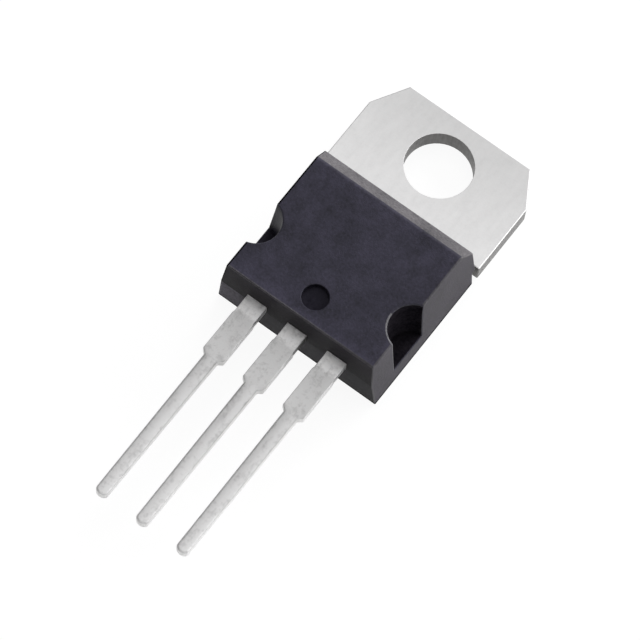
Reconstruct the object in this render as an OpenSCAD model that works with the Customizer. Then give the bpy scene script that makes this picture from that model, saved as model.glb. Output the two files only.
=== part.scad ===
// Power MOSFET in a three-lead package with a mounting tab (TO-220 outline).
//
// Units are millimetres. The origin is the centre of the mounting hole on the back face.
// Seen from the front, +X is right, +Y runs to the tab's free end and +Z comes out of the
// front face. The leads, in X order, are gate, drain and source. The drain lead and the tab
// are one stamped copper piece. The compound is moulded round the metal, so it meets every
// inner piece face to face.

/* [Tab] */
// Width of the exposed tab
tab_width = 10.2; // [9.95:0.05:10.6]
// Thickness of the tab
tab_thick = 1.27; // [1.1:0.01:1.45]
// Tab's free end to the moulded body
tab_exposed = 6.4; // [6:0.01:7]
// Diameter of the mounting hole
hole_dia = 3.76; // [3.2:0.02:4.4]
// Centre of the mounting hole to the tab's free end
hole_to_end = 2.77; // [2.5:0.01:3.1]
// Cut corner, measured across the tab
corner_across = 1.18; // [0.4:0.01:2]
// Cut corner, measured along the tab
corner_along = 2; // [0.6:0.05:2.6]
// Width of the tab where it enters the body
neck_width = 8; // [7.4:0.05:8.8]
// Length of the neck, from the tab's shoulder
neck_length = 3.8; // [2:0.05:4.4]
// Width of the tab under the chip
pad_width = 6.9; // [6:0.05:7.2]
// Length of bare metal on the back, from the free end
pad_length = 12.4; // [12:0.05:12.9]

/* [Body] */
// Length of the body, from its tab-end wall to the lead-end parting line
body_length = 9.07; // [8.7:0.01:9.4]
// Height of the front face over the back face
body_height = 4.57; // [4.3:0.01:4.8]
// Width of the body at the back face
back_width = 10.14; // [9.8:0.01:10.3]
// Width of the body at the front face
front_width = 9.3; // [9:0.01:9.6]
// Length of the bevel at the tab end, along the body
bevel_length = 0.98; // [0.4:0.01:1.2]
// Depth of that bevel below the front face
bevel_depth = 1.07; // [0.5:0.01:1.4]
// How far the tab-end wall leans in between the tab and the bevel
wall_lean = 0.24; // [0.05:0.01:0.4]
// How far the lead-end wall leans in from the parting line to the front face
front_lean = 0.13; // [0.05:0.01:0.4]
// How far the lead-end wall leans in from the parting line to the back face
back_lean = 0.22; // [0.05:0.01:0.4]
// Tab's shoulder to the tab-end wall
shoulder_gap = 0.13; // [0.05:0.01:0.2]
// Slot between the tab's shoulder and the side rails
rail_slot = 0.38; // [0.25:0.01:0.6]

/* [Side notches] */
// Diameter of a side notch at the front face
notch_dia = 2.72; // [2:0.02:3.2]
// Distance between the centres of the two notches
notch_spacing = 10; // [9.8:0.02:10.4]
// Centre of the notches to the parting line
notch_to_leads = 3.13; // [3:0.01:3.8]
// Draft of a notch's wall, in degrees
notch_draft = 2.5; // [1:0.5:7]

/* [Ejector dimple] */
// Diameter of the dimple in the front face
dimple_dia = 1.45; // [1:0.05:1.8]
// Depth of the dimple
dimple_depth = 0.3; // [0.1:0.05:0.6]
// Centre of the dimple to the parting line
dimple_to_leads = 1.48; // [1.2:0.01:2]

/* [Leads] */
// Distance between neighbouring leads
lead_pitch = 2.54; // [2.4:0.02:2.7]
// Thickness of the leads
lead_thick = 0.56; // [0.5:0.01:0.7]
// Underside of the leads over the back face, which is also the parting line's height
lead_height = 2.5; // [2.3:0.01:2.7]
// Length of the leads outside the body
lead_length = 13.21; // [12:0.01:14]
// Width of a lead where it leaves the body
root_width = 1.24; // [1:0.01:1.3]
// Length of that root
root_length = 1.1; // [0.6:0.05:1.6]
// Width of a lead where the dam bar was cut off
dam_width = 1.32; // [1.25:0.01:1.45]
// Length of the wide part of a lead, root included
wide_length = 3.7; // [3.3:0.05:4.2]
// Length of the slope from the wide part to the pin
slope_length = 0.2; // [0.1:0.01:0.5]
// Width of the pin below the slope
pin_width = 0.82; // [0.75:0.01:0.95]
// Width of the pin at its tip
tip_width = 0.7; // [0.6:0.01:0.8]
// Radius of the tip's round end
tip_radius = 0.42; // [0.41:0.01:0.7]
// Angle of the drain lead's bend down to the tab, in degrees
bend_angle = 60; // [50:1:70]
// Radius of that bend, at the middle of the metal
bend_radius = 0.55; // [0.4:0.01:0.6]

/* [Bond posts] */
// Length of the bond posts at the inner ends of the gate and source leads
post_length = 1.45; // [1:0.05:1.6]
// Lead-end wall to the bond posts
post_inset = 0.5; // [0.3:0.05:0.7]
// Width of the gate's bond post
gate_post_width = 1.8; // [1.3:0.05:2.4]
// Width of the source's bond post
source_post_width = 2.4; // [2:0.05:2.6]

/* [Chip] */
// Width of the chip, across the body
chip_width = 3.6; // [3:0.05:4.4]
// Length of the chip, along the body
chip_length = 3.2; // [2.6:0.05:3.6]
// Thickness of the chip
chip_thick = 0.28; // [0.2:0.01:0.35]
// Tab-end wall to the chip
chip_inset = 1.6; // [1.2:0.05:2]
// Thickness of the solder under the chip
solder_thick = 0.05; // [0.03:0.01:0.1]
// Solder fillet round the chip
solder_margin = 0.15; // [0.05:0.01:0.3]

/* [Bond wires] */
// Diameter of the gate wire
gate_wire_dia = 0.15; // [0.1:0.01:0.2]
// Diameter of the source wires
source_wire_dia = 0.38; // [0.25:0.01:0.45]
// Distance between the two source wires on the chip
chip_wire_pitch = 0.95; // [0.7:0.05:1.3]
// Distance between the two source wires on the bond post
post_wire_pitch = 1.1; // [0.8:0.05:1.3]
// Chip's lead-side edge to the feet of the source wires
source_foot_inset = 1.3; // [1:0.05:1.8]
// Chip's lead-side and left edges to the gate wire's foot
gate_foot_inset = 0.45; // [0.35:0.05:0.8]
// Height of a wire's arc over the line between its feet
wire_rise = 1.05; // [0.8:0.05:1.15]

/* [Hidden] */

epoxy_colour = [0.23, 0.22, 0.26];
tin_colour = [0.78, 0.78, 0.78];
silicon_colour = [0.35, 0.38, 0.45];
solder_colour = [0.6, 0.6, 0.62];
wire_colour = [0.85, 0.85, 0.87];

// How far a cutting or joining shape runs past the face that it meets
over = 0.5;
// Straight steps in each arc of the drain lead's bend
bend_steps = 10;
$fn = 64;

// Places along the part
y_free_end = hole_to_end;
y_wall = y_free_end - tab_exposed;
y_shoulder = y_wall + shoulder_gap;
y_rail = y_shoulder - rail_slot;
y_neck_end = y_shoulder - neck_length;
y_pad_end = y_free_end - pad_length;
y_parting = y_wall - body_length;
y_notch = y_parting + notch_to_leads;
y_dimple = y_parting + dimple_to_leads;
y_chip = y_wall - chip_inset - chip_length / 2;
y_post = y_parting + post_inset + post_length / 2;

// Heights over the back face
z_solder = tab_thick;
z_chip = z_solder + solder_thick;
z_chip_top = z_chip + chip_thick;
z_post_top = lead_height + lead_thick;

// The drain lead's bend: how far it drops, its straight slope and its run along the part
bend_drop = z_post_top - tab_thick;
bend_slope = (bend_drop - 2 * bend_radius * (1 - cos(bend_angle))) / sin(bend_angle);
bend_run = 2 * bend_radius * sin(bend_angle) + bend_slope * cos(bend_angle);
y_bend = y_pad_end - bend_run;

// Feet of the bond wires, as [x, y] on the chip and on the bond posts
gate_chip_foot = [-chip_width / 2 + gate_foot_inset, y_chip - chip_length / 2 + gate_foot_inset];
gate_post_foot = [-lead_pitch, y_post];
function source_chip_foot(side) = [side * chip_wire_pitch / 2 + chip_width / 8,
                                   y_chip - chip_length / 2 + source_foot_inset];
function source_post_foot(side) = [lead_pitch + side * post_wire_pitch / 2, y_post];

// A closed outline from the points of its right half
function both_sides(half) =
    concat(half, [for (i = [len(half) - 1 : -1 : 0]) [-half[i][0], half[i][1]]]);

// A profile in Y and Z, drawn as X and Y, extruded across the part
module across(width) {
    rotate([90, 0, 90])
        linear_extrude(width, center = true)
            children();
}

// ---------------------------------------------------------------- moulded body

// Side view of the body: bevelled front edge, leaning walls and the rails' end
module body_side() {
    polygon([
        [y_parting + back_lean, 0],
        [y_parting, lead_height],
        [y_parting + front_lean, body_height],
        [y_wall - wall_lean - bevel_length, body_height],
        [y_wall - wall_lean, body_height - bevel_depth],
        [y_wall, tab_thick],
        [y_rail, tab_thick],
        [y_rail, 0]
    ]);
}

// End view of the body: narrower at the front face by the mould's draft
module body_end() {
    polygon(both_sides([[back_width / 2, 0], [front_width / 2, body_height]]));
}

module body_blank() {
    intersection() {
        across(back_width + over) body_side();
        translate([0, y_wall + over, 0])
            rotate([90, 0, 0])
                linear_extrude(body_length + 2 * over) body_end();
    }
}

// One side notch: a drafted round cut from the front face down to the tab's level
module side_notch(side) {
    depth = body_height - tab_thick;
    spread = tan(notch_draft);
    translate([side * notch_spacing / 2, y_notch, tab_thick])
        cylinder(h = depth + over, r1 = notch_dia / 2 - depth * spread,
                 r2 = notch_dia / 2 + over * spread);
}

module ejector_dimple() {
    translate([0, y_dimple, body_height - dimple_depth])
        cylinder(h = dimple_depth + over, d = dimple_dia);
}

module mold_body() {
    color(epoxy_colour)
        difference() {
            body_blank();
            side_notch(-1);
            side_notch(1);
            ejector_dimple();
            tab_and_drain_lead();
            gate_lead();
            source_lead();
            silicon_chip();
            chip_solder();
            gate_wire();
            source_wire_1();
            source_wire_2();
        }
}

// ---------------------------------------------------------------- leads and tab

// Right half of a lead's outline along -Y from the parting line: root, dam-bar stub, slope
// and pin
lead_half = [
    [root_width / 2, -root_length],
    [dam_width / 2, -root_length - (dam_width - root_width)],
    [dam_width / 2, -wide_length],
    [pin_width / 2, -wide_length - slope_length],
    [tip_width / 2, -lead_length]
];

// Plan of a lead with a round tip. inner_half is the right half of its outline inside the
// body, from the inner end outwards.
module lead_plan(inner_half) {
    y_round = -lead_length + tip_radius;
    reach = inner_half[0][1];
    intersection() {
        polygon(both_sides(concat(inner_half, lead_half)));
        union() {
            translate([0, y_round])
                circle(r = tip_radius);
            translate([-back_width / 2, y_round])
                square([back_width, reach - y_round]);
        }
    }
}

// A straight lead with a bond post at its inner end
module post_lead(x, post_width) {
    color(tin_colour)
        translate([x, y_parting, lead_height])
            linear_extrude(lead_thick)
                lead_plan([
                    [post_width / 2, post_inset + post_length],
                    [post_width / 2, post_inset],
                    [root_width / 2, post_inset]
                ]);
}

module gate_lead() {
    post_lead(-lead_pitch, gate_post_width);
}

module source_lead() {
    post_lead(lead_pitch, source_post_width);
}

// Points of an arc, from one angle to another
function arc(centre, radius, from, to) =
    [for (i = [0 : bend_steps])
        let (angle = from + (to - from) * i / bend_steps)
        centre + radius * [cos(angle), sin(angle)]];

// Side view of the drain lead's bend, which runs a little way into the lead and the tab's end
module bend_side() {
    upper_centre = [y_bend, lead_height + lead_thick / 2 - bend_radius];
    lower_centre = [y_pad_end, tab_thick - lead_thick / 2 + bend_radius];
    outer = bend_radius + lead_thick / 2;
    inner = bend_radius - lead_thick / 2;
    polygon(concat(
        arc(upper_centre, outer, 90, 90 - bend_angle),
        arc(lower_centre, inner, 270 - bend_angle, 270),
        [[y_pad_end + over, tab_thick], [y_pad_end + over, tab_thick - lead_thick]],
        arc(lower_centre, outer, 270, 270 - bend_angle),
        arc(upper_centre, inner, 90 - bend_angle, 90),
        [[y_bend - over, lead_height], [y_bend - over, z_post_top]]
    ));
}

module tab_plan() {
    difference() {
        polygon(both_sides([
            [tab_width / 2 - corner_across, y_free_end],
            [tab_width / 2, y_free_end - corner_along],
            [tab_width / 2, y_shoulder],
            [neck_width / 2, y_shoulder],
            [neck_width / 2, y_neck_end],
            [pad_width / 2, y_neck_end],
            [pad_width / 2, y_pad_end]
        ]));
        circle(d = hole_dia);
    }
}

module tab_and_drain_lead() {
    color(tin_colour) {
        linear_extrude(tab_thick) tab_plan();
        across(root_width) bend_side();
        translate([0, y_parting, lead_height])
            linear_extrude(lead_thick)
                lead_plan([[root_width / 2, y_bend - y_parting]]);
    }
}

// ---------------------------------------------------------------- chip and bonds

module silicon_chip() {
    color(silicon_colour)
        translate([-chip_width / 2, y_chip - chip_length / 2, z_chip])
            cube([chip_width, chip_length, chip_thick]);
}

// Half of a solder layer's section: as wide as the chip on top, with a fillet at the foot
function solder_half(size) = [[size / 2 + solder_margin, 0], [size / 2, solder_thick]];

module chip_solder() {
    color(solder_colour)
        translate([0, y_chip, z_solder])
            intersection() {
                across(chip_width + 4 * solder_margin)
                    polygon(both_sides(solder_half(chip_length)));
                rotate([90, 0, 0])
                    linear_extrude(chip_length + 4 * solder_margin, center = true)
                        polygon(both_sides(solder_half(chip_width)));
            }
}

// A flattened foot of a bond wire, centred on the origin's X axis
module wire_foot(dia) {
    translate([-2 * dia, -0.6 * dia, 0])
        cube([2.5 * dia, 1.2 * dia, 0.6 * dia]);
}

// A bond wire from a foot on the chip to a foot on a bond post, as one arc
module bond_wire(chip_foot, post_foot, dia) {
    step = post_foot - chip_foot;
    run = norm(step);
    lift = z_post_top - z_chip_top;
    chord = norm([run, lift]);
    radius = (chord * chord / 4 + wire_rise * wire_rise) / (2 * wire_rise);
    tilt = atan2(lift, run);
    half_sweep = asin(chord / 2 / radius);
    centre = [run / 2, lift / 2] + (radius - wire_rise) * [sin(tilt), -cos(tilt)];
    color(wire_colour)
        translate([chip_foot[0], chip_foot[1], z_chip_top])
            rotate([0, 0, atan2(step[1], step[0])]) {
                translate([0, 0, dia / 2])
                    rotate([90, 0, 0])
                        translate(centre)
                            rotate([0, 0, 90 + tilt - half_sweep])
                                rotate_extrude(angle = 2 * half_sweep)
                                    translate([radius, 0])
                                        circle(d = dia);
                wire_foot(dia);
                translate([run, 0, lift])
                    rotate([0, 0, 180])
                        wire_foot(dia);
            }
}

module gate_wire() {
    bond_wire(gate_chip_foot, gate_post_foot, gate_wire_dia);
}

module source_wire_1() {
    bond_wire(source_chip_foot(-1), source_post_foot(-1), source_wire_dia);
}

module source_wire_2() {
    bond_wire(source_chip_foot(1), source_post_foot(1), source_wire_dia);
}

mold_body();
tab_and_drain_lead();
gate_lead();
source_lead();
silicon_chip();
chip_solder();
gate_wire();
source_wire_1();
source_wire_2();
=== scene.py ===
"""Looks of a power MOSFET in a three-lead package with a mounting tab.

Metres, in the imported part's frame: the origin is the centre of the mounting hole on the
back face, +Y runs to the tab's free end and +Z comes out of the front face.
"""

import math

import bmesh
import bpy
from mathutils import Matrix, Vector
from mathutils.bvhtree import BVHTree


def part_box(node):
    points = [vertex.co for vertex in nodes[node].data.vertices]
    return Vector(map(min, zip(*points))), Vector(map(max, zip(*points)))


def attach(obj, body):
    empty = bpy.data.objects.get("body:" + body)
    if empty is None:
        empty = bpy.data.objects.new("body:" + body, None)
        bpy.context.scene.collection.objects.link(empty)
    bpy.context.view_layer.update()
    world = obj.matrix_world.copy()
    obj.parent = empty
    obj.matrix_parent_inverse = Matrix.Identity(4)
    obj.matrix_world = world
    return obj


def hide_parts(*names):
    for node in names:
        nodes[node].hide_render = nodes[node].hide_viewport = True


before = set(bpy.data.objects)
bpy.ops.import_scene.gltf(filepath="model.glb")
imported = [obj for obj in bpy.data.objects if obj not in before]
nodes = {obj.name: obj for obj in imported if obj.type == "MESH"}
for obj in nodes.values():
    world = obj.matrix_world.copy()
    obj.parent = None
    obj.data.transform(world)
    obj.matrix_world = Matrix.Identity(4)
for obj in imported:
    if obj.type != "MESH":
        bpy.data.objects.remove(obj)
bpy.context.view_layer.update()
scene = bpy.context.scene
MM = 0.001
# In mm: from one lead to the next, and where the leads' slopes end and the pins start
PITCH = 2.54
SLOPE_END, PIN_START = -16.3, -16.8


# ---------------------------------------------------------------- camera
# Fitted to the photograph's corners: where the camera stands round the body, its roll and
# its focal length in the 640 x 640 frame
PHOTO_PX = 640
FOCAL_PX = 4445.1
AZIMUTH, ELEVATION, ROLL = (math.radians(a) for a in (28.385, 66.532, 8.699))
DISTANCE = 230.24 * MM
TARGET = Vector((0, -8, 1.5)) * MM
# Where the target lies in the frame, in pixels right of and below its middle
TARGET_PX = (29.25, -45.11)


def make_camera():
    back = Vector((math.sin(AZIMUTH) * math.cos(ELEVATION),
                   -math.cos(AZIMUTH) * math.cos(ELEVATION), math.sin(ELEVATION)))
    right = Vector((math.cos(AZIMUTH), math.sin(AZIMUTH), 0))
    up = back.cross(right)
    right, up = (math.cos(ROLL) * right + math.sin(ROLL) * up,
                 math.cos(ROLL) * up - math.sin(ROLL) * right)
    place = TARGET + DISTANCE * back
    # The camera turns until the target sits at its place in the frame
    ahead = -back - right * (TARGET_PX[0] / FOCAL_PX) + up * (TARGET_PX[1] / FOCAL_PX)
    back = -ahead.normalized()
    right = (right - right.dot(back) * back).normalized()
    up = back.cross(right)
    data = bpy.data.cameras.new("camera")
    data.sensor_width = 36
    data.lens = FOCAL_PX / PHOTO_PX * data.sensor_width
    data.clip_start = 10 * MM
    data.clip_end = 20
    camera = bpy.data.objects.new("camera", data)
    camera.matrix_world = Matrix((
        (right.x, up.x, back.x, place.x),
        (right.y, up.y, back.y, place.y),
        (right.z, up.z, back.z, place.z),
        (0, 0, 0, 1)))
    scene.collection.objects.link(camera)
    scene.camera = camera


make_camera()


# ---------------------------------------------------------------- materials
def add_node(tree, kind, inputs, **settings):
    """A new node with its settings; an input is given a value or joined to a socket."""
    made = tree.nodes.new(kind)
    for key, value in settings.items():
        setattr(made, key, value)
    for key, value in inputs.items():
        if isinstance(value, bpy.types.NodeSocket):
            tree.links.new(value, made.inputs[key])
        else:
            made.inputs[key].default_value = value
    return made


class Shader:
    """A material's nodes, made and joined by short calls."""

    def __init__(self, name):
        self.material = bpy.data.materials.new(name)
        self.material.use_nodes = True
        self.tree = self.material.node_tree
        self.tree.nodes.clear()
        self.output = self.node("ShaderNodeOutputMaterial")

    def node(self, kind, inputs=None, **settings):
        return add_node(self.tree, kind, inputs or {}, **settings)

    def place(self):
        return self.node("ShaderNodeTexCoord").outputs["Object"]

    def stretched(self, scale):
        """The object's coordinates, scaled along X, Y and Z."""
        return self.node("ShaderNodeMapping", {"Vector": self.place(), "Scale": scale}).outputs[0]

    def noise(self, size_mm, detail=2.0, roughness=0.5, vector=None):
        """Noise whose features are about size_mm across, from 0 to 1."""
        return self.node("ShaderNodeTexNoise", {
            "Vector": vector or self.place(), "Scale": 1 / (size_mm * MM),
            "Detail": detail, "Roughness": roughness}).outputs["Fac"]

    def spread(self, value, low, high, to_low=0.0, to_high=1.0):
        """A value between low and high, mapped to the other two and held there."""
        return self.node("ShaderNodeMapRange", {
            "Value": value, "From Min": low, "From Max": high,
            "To Min": to_low, "To Max": to_high}).outputs[0]

    def ramp(self, value, stops):
        """A colour from a value: stops are (place, (r, g, b)), in linear light."""
        made = self.node("ShaderNodeValToRGB", {"Fac": value})
        line = made.color_ramp.elements
        while len(line) < len(stops):
            line.new(0.5)
        for stop, (at, colour) in zip(line, stops):
            stop.position = at
            stop.color = (*colour, 1)
        return made.outputs["Color"]

    def mix(self, share, first, second, kind="MIX"):
        """Two colours mixed by a share. Each of them may be a socket."""
        first, second = (colour if isinstance(colour, bpy.types.NodeSocket) else (*colour, 1)
                         for colour in (first, second))
        return self.node("ShaderNodeMix", {0: share, 6: first, 7: second},
                         data_type="RGBA", blend_type=kind).outputs[2]

    def sums(self, kind, first, second):
        return self.node("ShaderNodeMath", {0: first, 1: second}, operation=kind).outputs[0]

    def total(self, *parts):
        """The sum of some values, each times its weight."""
        whole = 0.0
        for value, weight in parts:
            whole = self.node("ShaderNodeMath", {0: value, 1: weight, 2: whole},
                              operation="MULTIPLY_ADD").outputs[0]
        return whole

    def part_of(self, output, axis):
        """One part, X, Y or Z, of the object's own "Object" place or "Normal"."""
        whole = self.node("ShaderNodeTexCoord").outputs[output]
        return self.node("ShaderNodeSeparateXYZ", {0: whole}).outputs[axis]

    def profile(self, value, stops):
        """A grey read along a value: stops are (value, grey), rising."""
        low, high = stops[0][0], stops[-1][0]
        return self.ramp(self.spread(value, low, high), [
            ((at - low) / (high - low), (grey,) * 3) for at, grey in stops])

    def bump(self, height, depth_mm, under=None):
        inputs = {"Height": height, "Distance": depth_mm * MM, "Strength": 1.0}
        if under:
            inputs["Normal"] = under
        return self.node("ShaderNodeBump", inputs).outputs["Normal"]

    def finish(self, shader):
        self.tree.links.new(shader.outputs[0], self.output.inputs["Surface"])
        return self.material


def epoxy(name, dark, light, rough, specular, depth_mm, specks=0.0, broad=0.4, fades=()):
    """Filled epoxy, near black, finely grained by the spark-eroded mould. dark and light
    are its tones, broad is how much of the mottle is broad, and fades are (axis, stops)
    pairs of painted light and shade that dim or lift it along X, Y or Z, with stops as
    (place in mm, factor)."""
    s = Shader(name)
    grain = s.noise(0.14, detail=3, roughness=0.6)
    blotch = s.noise(0.8, detail=3, roughness=0.65)
    speck = s.noise(0.07, detail=1)
    level = s.total((grain, 0.75 - broad), (blotch, broad), (s.noise(2.8, detail=2), 0.25))
    base = s.ramp(level, [(0.36, dark), (0.64, light)])
    # Painted light and shade, dimming or lifting the tones along an axis
    for axis, stops in fades:
        place = s.total((s.part_of("Object", axis), 1 / MM), (blotch, 0.3), (1.0, -0.15))
        base = s.mix(1.0, base, s.profile(place, stops), "MULTIPLY")
    # Grains of silica filler that show as pale specks
    base = s.mix(s.spread(speck, 0.70, 0.80, 0.0, specks), base, (0.10, 0.10, 0.11))
    return s.finish(s.node("ShaderNodeBsdfPrincipled", {
        "Base Color": base,
        "Roughness": s.spread(s.total((grain, 0.5), (blotch, 0.5)), 0.35, 0.65, *rough),
        "Specular IOR Level": specular,
        "Normal": s.bump(grain, depth_mm, s.bump(speck, 0.4 * depth_mm))}))


def tinned(name, tone, metallic, contrast, patch_mm, depth_mm, side_tones, along, dome_mm=0.0):
    """Matte tin plating, with streaked edges where the strip was punched. contrast is how
    far its patches differ, along holds (y in mm, grey) pairs of painted light and shade
    that brighten or dim it along Y, and dome_mm is how much the tin on a pin drops 1 mm
    beside its middle."""
    s = Shader(name)
    patch = s.noise(patch_mm, detail=3, roughness=0.6)
    grain = s.noise(0.09, detail=2)
    turned = s.node("ShaderNodeMapping", {
        "Vector": s.place(), "Rotation": (0, 0, math.radians(-35)), "Scale": (1, 0.25, 1)})
    drawn = s.noise(0.35, detail=2, vector=turned.outputs[0])
    level = s.total((patch, 0.45), (drawn, 0.35), (grain, 0.20))
    base = s.ramp(level, [
        (0.34, tuple((1 - contrast) * c for c in tone)),
        (0.50, tone),
        (0.66, tuple(min(1.0, (1 + 0.8 * contrast) * c) for c in tone))])
    # Painted light and shade along Y, from the along stops
    place = s.total((s.part_of("Object", "Y"), 1 / MM), (patch, 0.5), (1.0, -0.25))
    base = s.mix(1.0, base, s.profile(place, along), "MULTIPLY")
    # The tin stands domed across each pin
    beside = s.node("ShaderNodeMath", {0: s.total((s.part_of("Object", "X"), 1 / MM)),
                                       1: PITCH / 2, 2: -PITCH / 2}, operation="WRAP").outputs[0]
    dome = s.sums("MULTIPLY", s.sums("MULTIPLY", beside, beside),
                  s.spread(s.part_of("Object", "Y"), PIN_START * MM, SLOPE_END * MM, -1.0, 0.0))
    domed = s.bump(dome, dome_mm)
    # Punched sides: faces that stand upright, with streaks along the punch's stroke
    upright = s.sums("ABSOLUTE", s.part_of("Normal", "Z"), 0.0)
    side = s.spread(upright, 0.15, 0.45, 1.0, 0.0)
    streak = s.noise(0.12, detail=2, vector=s.stretched((1, 1, 0.12)))
    sheared = s.ramp(streak, [(0.3, side_tones[0]), (0.7, side_tones[1])])
    return s.finish(s.node("ShaderNodeBsdfPrincipled", {
        "Base Color": s.mix(side, base, sheared),
        "Metallic": metallic,
        "Roughness": s.spread(patch, 0.3, 0.7, 0.34, 0.48),
        "Normal": s.bump(patch, depth_mm, s.bump(grain, 0.0015, domed))}))


def sawn_silicon():
    s = Shader("sawn_silicon")
    streak = s.noise(0.10, detail=2, vector=s.stretched((1, 0.1, 1)))
    base = s.ramp(streak, [(0.3, (0.07, 0.08, 0.11)), (0.7, (0.13, 0.15, 0.20))])
    return s.finish(s.node("ShaderNodeBsdfPrincipled", {
        "Base Color": base, "Roughness": s.spread(streak, 0.3, 0.7, 0.22, 0.35),
        "Normal": s.bump(streak, 0.001)}))


def grey_metal(name, dark, light, rough_from, rough_to):
    """Plain worn metal of the pieces sealed in the body."""
    s = Shader(name)
    patch = s.noise(0.2, detail=3)
    return s.finish(s.node("ShaderNodeBsdfPrincipled", {
        "Base Color": s.ramp(patch, [(0.3, dark), (0.7, light)]),
        "Metallic": 1.0, "Roughness": s.spread(patch, 0.3, 0.7, rough_from, rough_to),
        "Normal": s.bump(patch, 0.003)}))


EPOXIES = [
    # Front face: a painted highlight lifts it along the lead end
    epoxy("molded_epoxy", dark=(0.0120, 0.0113, 0.0188), light=(0.0505, 0.0470, 0.0710),
          rough=(0.42, 0.58), specular=0.26, depth_mm=0.014, specks=0.30,
          fades=[("Y", [(-12.7, 1.6), (-12.1, 1.15), (-11.6, 1.0)])]),
    # Bevel: scuffed, and painted light
    epoxy("scuffed_and_lit_epoxy", dark=(0.024, 0.022, 0.027), light=(0.168, 0.158, 0.168),
          rough=(0.42, 0.58), specular=0.30, depth_mm=0.016, specks=0.60, broad=0.20),
    # Lead end above the parting line: painted shade, deepening down towards that line
    epoxy("upper_end_shade_epoxy", dark=(0.0050, 0.0040, 0.0060), light=(0.0260, 0.0220, 0.0280),
          rough=(0.42, 0.54), specular=0.06, depth_mm=0.012, specks=0.10, broad=0.30,
          fades=[("Z", [(2.5, 0.2), (3.2, 0.7), (4.5, 1.6)])]),
    # Lead end below the parting line: painted shade, painted lighter at its left end
    epoxy("lower_end_shade_epoxy", dark=(0.0050, 0.0045, 0.0060), light=(0.0280, 0.0260, 0.0310),
          rough=(0.42, 0.54), specular=0.06, depth_mm=0.012, specks=0.10, broad=0.30,
          fades=[("X", [(-3.8, 7.5), (-3.2, 1.0)])]),
    # Darker ejector dimple, and painted shade in the left notch
    epoxy("dark_dimple_notch_shade_epoxy", dark=(0.0110, 0.0100, 0.0165), light=(0.0320, 0.0300, 0.0420),
          rough=(0.40, 0.50), specular=0.06, depth_mm=0.006),
    # Right notch: deeper painted shade
    epoxy("notch_shade_epoxy", dark=(0.0080, 0.0070, 0.0100), light=(0.0380, 0.0340, 0.0420),
          rough=(0.40, 0.50), specular=0.0, depth_mm=0.006),
    # Painted shade on the walls' foot and the front face's left rim
    epoxy("edge_shade_epoxy", dark=(0.0040, 0.0037, 0.0046), light=(0.0140, 0.0130, 0.0165),
          rough=(0.40, 0.50), specular=0.0, depth_mm=0.008),
    # Rounded edges: a painted highlight
    epoxy("edge_highlight_epoxy", dark=(0.0280, 0.0260, 0.0330), light=(0.0850, 0.0800, 0.0920),
          rough=(0.38, 0.52), specular=0.30, depth_mm=0.008),
    # Right notch's rim: a painted glint
    epoxy("rim_glint_epoxy", dark=(0.0600, 0.0570, 0.0660), light=(0.1700, 0.1640, 0.1800),
          rough=(0.30, 0.42), specular=0.50, depth_mm=0.006),
    # Walls: painted lighter as a painted sheen
    epoxy("wall_sheen_epoxy", dark=(0.0180, 0.0160, 0.0210), light=(0.0820, 0.0750, 0.0920),
          rough=(0.42, 0.58), specular=0.11, depth_mm=0.014, specks=0.30),
]
# In their order: the front face, with a painted highlight along the lead end; the bevel, scuffed
# and painted light; the lead end above and below the parting line, in painted shade that
# deepens down towards that line above it and is painted lighter at its left end below it; the
# darker ejector dimple and the left notch in painted shade; the right notch in deeper painted
# shade; the painted shade of the foot and the left rim; the rounded edges with a painted
# highlight; the right notch's rim with a painted glint; the walls painted lighter as a painted
# sheen
(PLAIN, SCUFFED_AND_LIT, UPPER_END_SHADE, LOWER_END_SHADE, DARK_DIMPLE_NOTCH_SHADE, NOTCH_SHADE, EDGE_SHADE, EDGE_HIGHLIGHT, RIM_GLINT,
 WALL_SHEEN) = range(len(EPOXIES))
# The tab's along stops are painted light and shade, brighter towards the body and darker towards
# its free end; its upright sides are much darker than its faces
TAB_TIN = tinned(
    "tinned_tab", tone=(0.84, 0.835, 0.835), metallic=0.75, contrast=0.06, patch_mm=0.30,
    depth_mm=0.002, side_tones=((0.155, 0.15, 0.147), (0.210, 0.206, 0.202)),
    along=[(-3.7, 1.02), (-1.8, 0.95), (1.5, 0.84), (2.8, 0.81)])
# The leads' along stops are painted light and shade: a bright band at the roots, darkest along
# the wide part and brighter towards the tips; their upright sides stay lighter than their faces
# as a painted sheen
LEAD_TIN = tinned(
    "tinned_lead", tone=(0.98, 0.972, 0.972), metallic=0.50, contrast=0.28, patch_mm=0.26,
    depth_mm=0.010, side_tones=((0.86, 0.855, 0.85), (0.98, 0.975, 0.97)),
    along=[(-26.0, 0.80), (-20.0, 0.72), (-17.0, 0.69), (-13.75, 0.69), (-13.55, 0.92),
           (-12.9, 1.0)],
    dome_mm=0.36)
INNER = {
    "silicon_chip": sawn_silicon(),
    "chip_solder": grey_metal("soft_solder", (0.30, 0.30, 0.32), (0.45, 0.45, 0.46), 0.35, 0.5),
}
ALUMINIUM = grey_metal("aluminium_wire", (0.72, 0.72, 0.74), (0.86, 0.86, 0.87), 0.25, 0.38)
for name in ("gate_wire", "source_wire_1", "source_wire_2"):
    INNER[name] = ALUMINIUM
for name, material in INNER.items():
    for place in nodes[name].material_slots:
        place.material = material


# ---------------------------------------------------------------- softened edges
# The real pieces have no sharp corners: the punch rolls the metal's edges and the mould's
# corners are eased. Each piece here is its CAD node with its open edges rounded.
TREES = {name: BVHTree.FromPolygons([v.co for v in o.data.vertices],
                                    [p.vertices for p in o.data.polygons])
         for name, o in nodes.items()}
# Pieces nearer than this touch, and corners nearer than this are one corner
TOUCHING = 0.015 * MM
SAME_PLACE = 0.0002 * MM
# Faces that turn by less than the first are one flat face, and by more than the second they
# meet in an edge
FLAT_TURN, EDGE_TURN = math.radians(0.3), math.radians(20)
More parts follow.
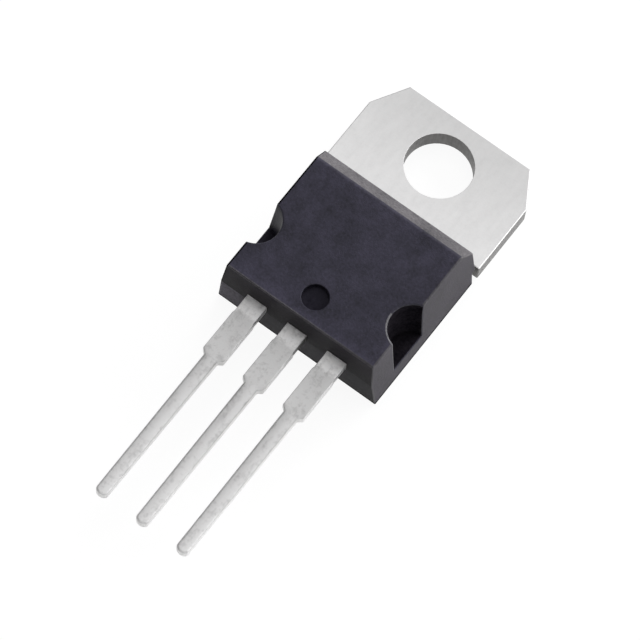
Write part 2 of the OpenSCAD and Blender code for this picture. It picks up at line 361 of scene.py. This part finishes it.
# Where along an edge it is tried whether it lies open
TRIED_AT = (0.1, 0.3, 0.5, 0.7, 0.9)
# Faces across each rounding
ROUNDING_FACES = 4


def open_to_air(point, outward, own):
    """True if nothing touches the point and nothing lies outward of it."""
    for name, tree in TREES.items():
        if name != own and tree.find_nearest(point, TOUCHING)[0] is not None:
            return False
        if tree.ray_cast(point + outward * TOUCHING, outward)[0] is not None:
            return False
    return True


def soften(node, name, materials, radius, largest, which=None, rim=None, cuts=()):
    """A new piece: the node with its open outer edges rounded. radius tells an edge's
    radius in mm from its middle in mm, and largest is the greatest it gives. which tells a
    face's material from its middle and its normal, and rim that of a face of a rounding from
    its middle. cuts are (point in mm, normal) planes that split faces."""
    mesh = bpy.data.meshes.new(name)
    bm = bmesh.new()
    bm.from_mesh(nodes[node].data)
    bmesh.ops.remove_doubles(bm, verts=bm.verts, dist=SAME_PLACE)
    bmesh.ops.dissolve_limit(bm, angle_limit=FLAT_TURN, verts=bm.verts[:], edges=bm.edges[:])
    for point, across in cuts:
        bmesh.ops.bisect_plane(bm, geom=bm.verts[:] + bm.edges[:] + bm.faces[:],
                               plane_co=Vector(point) * MM, plane_no=across)
    bm.normal_update()
    weight = bm.edges.layers.float.new("bevel_weight_edge")
    for edge in bm.edges:
        if len(edge.link_faces) != 2 or not edge.is_convex:
            continue
        if edge.calc_face_angle() < EDGE_TURN:
            continue
        outward = (edge.link_faces[0].normal + edge.link_faces[1].normal).normalized()
        a, b = (v.co for v in edge.verts)
        if any(open_to_air(a.lerp(b, share), outward, node) for share in TRIED_AT):
            edge[weight] = radius((a + b) / (2 * MM)) / largest
    for edge in bm.edges:
        edge.smooth = edge[weight] > 0 or edge.calc_face_angle(0) < EDGE_TURN
    for face in bm.faces:
        face.smooth = True
        face.material_index = which(face.calc_center_median() / MM, face.normal) if which else 0
    bm.to_mesh(mesh)
    bm.free()
    # The last place is for the roundings' faces, until rim tells their own
    for material in materials + ([materials[0]] if rim else []):
        mesh.materials.append(material)
    piece = bpy.data.objects.new(name, mesh)
    scene.collection.objects.link(piece)
    bevel = piece.modifiers.new("edges", "BEVEL")
    bevel.limit_method = "WEIGHT"
    bevel.width = largest * MM
    bevel.segments = ROUNDING_FACES
    bevel.use_clamp_overlap = False
    bevel.material = len(materials) if rim else -1
    weighted = piece.modifiers.new("normals", "WEIGHTED_NORMAL")
    weighted.keep_sharp = True
    weighted.weight = 100
    bpy.context.view_layer.update()
    graph = bpy.context.evaluated_depsgraph_get()
    final = bpy.data.meshes.new_from_object(piece.evaluated_get(graph), depsgraph=graph)
    piece.modifiers.clear()
    piece.data = final
    final.name = name
    if rim:
        for face in final.polygons:
            if face.material_index == len(materials):
                face.material_index = rim(face.center / MM)
        final.materials.pop(index=len(materials))
    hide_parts(node)
    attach(piece, "root")


# Heights, places and reaches here are in mm
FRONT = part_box("mold_body")[1].z / MM
# What lies higher than this belongs to the front face
NEAR_FRONT = FRONT - 0.02
# Middle and reach of the ejector dimple and of the side notches, seen from the front
DIMPLE, DIMPLE_REACH = (0, -11.22), 0.8
NOTCH, NOTCH_REACH = (5, -9.57), 1.50
# The dimple's faces and the notches' lie higher than these, and the notches' nearer to the
# middle than the last
DIMPLE_FOOT, NOTCH_FOOT, NOTCH_MOUTH = FRONT - 0.5, 1.0, 4.8
# Top of the walls' foot of painted shade, top of its roundings, and where along X the side walls
# stand
FOOT, FOOT_EDGE, SIDE_WALLS = 0.20, 0.3, 4.9
# Where the front face's left rim of painted shade starts, where its roundings do, and how low
# those reach
LEFT_RIM, LEFT_EDGE, LEFT_EDGE_FOOT = -4.57, -4.45, 3.0
# Where along Y the bevel's edges start, and where along X its corners start and its inner
# edge ends
BEVEL_START, BEVEL_CORNERS, BEVEL_INNER = -5.0, 4.5, 4.0
# Along Y: where the tab's chamfers start, where the body hides the tab, and where the leads
# and the pins start
TAB_CHAMFERS, TAB_FOOT, LEADS_START, PINS_START = 2.0, -4.0, -12.0, -16.7
# Reach of the hole's rim, and half-way up the leads' thickness
HOLE_REACH, LEAD_MIDDLE = 2.0, 2.9
# The largest radii of the roundings
BODY_LARGEST, METAL_LARGEST = 0.15, 0.12


def from_dimple(place):
    return math.hypot(place.x - DIMPLE[0], place.y - DIMPLE[1])


def from_notch(place):
    return math.hypot(abs(place.x) - NOTCH[0], place.y - NOTCH[1])


def body_face(middle, normal):
    """Which epoxy a face of the body shows."""
    sunk = middle.z < NEAR_FRONT
    lead_end = normal.y < -0.9
    if sunk and from_dimple(middle) < DIMPLE_REACH and middle.z > DIMPLE_FOOT:
        return DARK_DIMPLE_NOTCH_SHADE
    # The notches' walls and floor in painted shade, deeper in the right notch
    if (sunk and from_notch(middle) < NOTCH_REACH and middle.z > NOTCH_FOOT
            and abs(middle.x) < NOTCH_MOUTH):
        return NOTCH_SHADE if middle.x > 0 else DARK_DIMPLE_NOTCH_SHADE
    # Painted shade along the walls' foot and on the front face's left rim
    if middle.z < FOOT and abs(normal.z) < 0.5 and (abs(middle.x) > SIDE_WALLS or lead_end):
        return EDGE_SHADE
    if not sunk and middle.x < LEFT_RIM:
        return EDGE_SHADE
    # The bevel is scuffed and painted light
    if normal.y > 0.5 and normal.z > 0.5:
        return SCUFFED_AND_LIT
    # The lead end is in painted shade, above and below the parting line
    if lead_end:
        return UPPER_END_SHADE if normal.z > 0 else LOWER_END_SHADE
    # The walls are painted lighter, as a painted sheen
    return PLAIN if normal.z > 0.5 else WALL_SHEEN


def body_edge(middle):
    """Which epoxy a rounding of the body shows."""
    # Round the notches: the right notch's lower rim carries a painted glint
    if from_notch(middle) < NOTCH_REACH:
        return RIM_GLINT if middle.x > 0 and middle.y < NOTCH[1] else PLAIN
    if from_dimple(middle) < DIMPLE_REACH:
        return PLAIN
    # Painted shade on the roundings along the foot and the front face's left edge
    if middle.z < FOOT_EDGE or (middle.x < LEFT_EDGE and middle.z > LEFT_EDGE_FOOT):
        return EDGE_SHADE
    # Along the bevel, its corners' roundings are scuffed and painted light
    if middle.y > BEVEL_START:
        return SCUFFED_AND_LIT if abs(middle.x) > BEVEL_CORNERS else PLAIN
    # The other roundings carry a painted highlight
    return EDGE_HIGHLIGHT


def body_radius(middle):
    """The bevel's inner edge is the roundest, and the dimple's rim the sharpest."""
    if middle.z <= NEAR_FRONT:
        return 0.06
    if from_dimple(middle) < DIMPLE_REACH:
        return 0.05
    if from_notch(middle) < NOTCH_REACH:
        return 0.09
    return BODY_LARGEST if middle.y > BEVEL_START and abs(middle.x) < BEVEL_INNER else 0.10


def metal_face(middle, normal):
    """1 on the drain lead, which is dipped as the other leads are."""
    return int(middle.y < LEADS_START)


def metal_radius(middle):
    """The punch leaves the hole's rim the sharpest and the thin pins the roundest."""
    if math.hypot(middle.x, middle.y) < HOLE_REACH or middle.y > TAB_CHAMFERS:
        return 0.02
    if middle.y > TAB_FOOT:
        return 0.07
    if middle.y > PINS_START:
        return 0.05
    return METAL_LARGEST if middle.z > LEAD_MIDDLE else 0.06


# The cuts split off the walls' foot and the front face's left rim for their painted shade
soften("mold_body", "body_eased", EPOXIES, body_radius, BODY_LARGEST,
       which=body_face, rim=body_edge,
       cuts=[((0, 0, FOOT), (0, 0, 1)), ((LEFT_RIM, 0, 0), (1, 0, 0))])
soften("tab_and_drain_lead", "tab_eased", [TAB_TIN, LEAD_TIN], metal_radius,
       METAL_LARGEST, which=metal_face)
soften("gate_lead", "gate_lead_eased", [LEAD_TIN], metal_radius,
       METAL_LARGEST)
soften("source_lead", "source_lead_eased", [LEAD_TIN], metal_radius,
       METAL_LARGEST)


# ---------------------------------------------------------------- floor, light
WHITE = (1, 1, 1, 1)
# The floor's half side and its height, just under the part
FLOOR_HALF, FLOOR_Z = 3.0, -0.02 * MM
# What the metal shows of the floor runs between these places along X
FLOOR_FADE = (-0.020, -0.002)
# The floor's own grey in the lamps' light where the camera sees it, which is what shadows it
SHADED_GREY = (0.16, 0.16, 0.16)
# What the metal shows of the studio runs between these parts of a direction along X
STUDIO_FADE = (-0.9, 0.0)
# Each lamp's name, place and size in mm, watts, and whether the metal shows it
LAMPS = [("softbox_right", (260, 160, 90), (300, 220), 0.45, True),
         ("softbox_top", (-60, 105, 300), (260, 260), 0.30, False),
         ("softbox_back", (20, 300, 110), (300, 160), 0.90, False)]
LAMPS_AIM = (0, -10, 0)


def white_when_seen(name, colour, camera_white, glossy_white):
    """A pale matte surface that looks white to the camera and pale in the metal, where it
    runs from glossy_white's first level on the left to its last; the shadow is kept."""
    s = Shader(name)
    path = s.node("ShaderNodeLightPath").outputs
    pale = s.spread(s.part_of("Object", "X"), *FLOOR_FADE, *glossy_white)
    in_metal = s.sums("MAXIMUM", path["Is Glossy Ray"], path["Is Transmission Ray"])
    shine = s.total((path["Is Camera Ray"], camera_white), (in_metal, pale))
    glow = s.node("ShaderNodeEmission", {"Color": WHITE, "Strength": shine})
    cloud = s.noise(40, detail=1)
    tint = s.ramp(cloud, [(0.3, tuple(0.97 * c for c in colour)), (0.7, colour)])
    tint = s.mix(path["Is Camera Ray"], tint, SHADED_GREY)
    matte = s.node("ShaderNodeBsdfDiffuse", {"Color": tint})
    both = s.node("ShaderNodeAddShader", {0: glow.outputs[0], 1: matte.outputs[0]})
    return s.finish(both)


def make_floor():
    mesh = bpy.data.meshes.new("floor")
    mesh.from_pydata([(x * FLOOR_HALF, y * FLOOR_HALF, FLOOR_Z)
                      for x, y in ((-1, -1), (1, -1), (1, 1), (-1, 1))], [], [(0, 1, 2, 3)])
    mesh.materials.append(white_when_seen("pale_floor", (0.85, 0.85, 0.85), 0.92, (0.12, 0.55)))
    floor = bpy.data.objects.new("floor", mesh)
    scene.collection.objects.link(floor)


def make_world(level, left, right):
    """A pale studio: white to the camera, level for the light it gives, and in the metal it
    runs from left to right."""
    world = bpy.data.worlds.new("studio")
    scene.world = world
    world.use_nodes = True
    tree = world.node_tree
    path = add_node(tree, "ShaderNodeLightPath", {}).outputs
    ahead = add_node(tree, "ShaderNodeTexCoord", {}).outputs["Generated"]
    across = add_node(tree, "ShaderNodeSeparateXYZ", {0: ahead}).outputs["X"]
    seen = add_node(tree, "ShaderNodeMapRange", {
        "Value": across, "From Min": STUDIO_FADE[0], "From Max": STUDIO_FADE[1],
        "To Min": left, "To Max": right}).outputs[0]
    seen = add_node(tree, "ShaderNodeMix", {0: path["Is Glossy Ray"], 2: level, 3: seen},
                    data_type="FLOAT").outputs[0]
    seen = add_node(tree, "ShaderNodeMix", {0: path["Is Camera Ray"], 2: seen, 3: 1.0},
                    data_type="FLOAT").outputs[0]
    background = tree.nodes["Background"]
    tree.links.new(seen, background.inputs["Strength"])
    background.inputs["Color"].default_value = WHITE


def make_lamp(name, place_mm, size_mm, watts, glint):
    data = bpy.data.lights.new(name, "AREA")
    data.shape = "RECTANGLE"
    data.size, data.size_y = size_mm[0] * MM, size_mm[1] * MM
    data.energy = watts
    lamp = bpy.data.objects.new(name, data)
    lamp.visible_glossy = glint
    lamp.location = Vector(place_mm) * MM
    away = Vector(place_mm) - Vector(LAMPS_AIM)
    lamp.rotation_euler = away.to_track_quat("Z", "Y").to_euler()
    scene.collection.objects.link(lamp)


make_floor()
make_world(0.12, 0.30, 1.12)
for lamp in LAMPS:
    make_lamp(*lamp)

scene.view_settings.view_transform = "Standard"
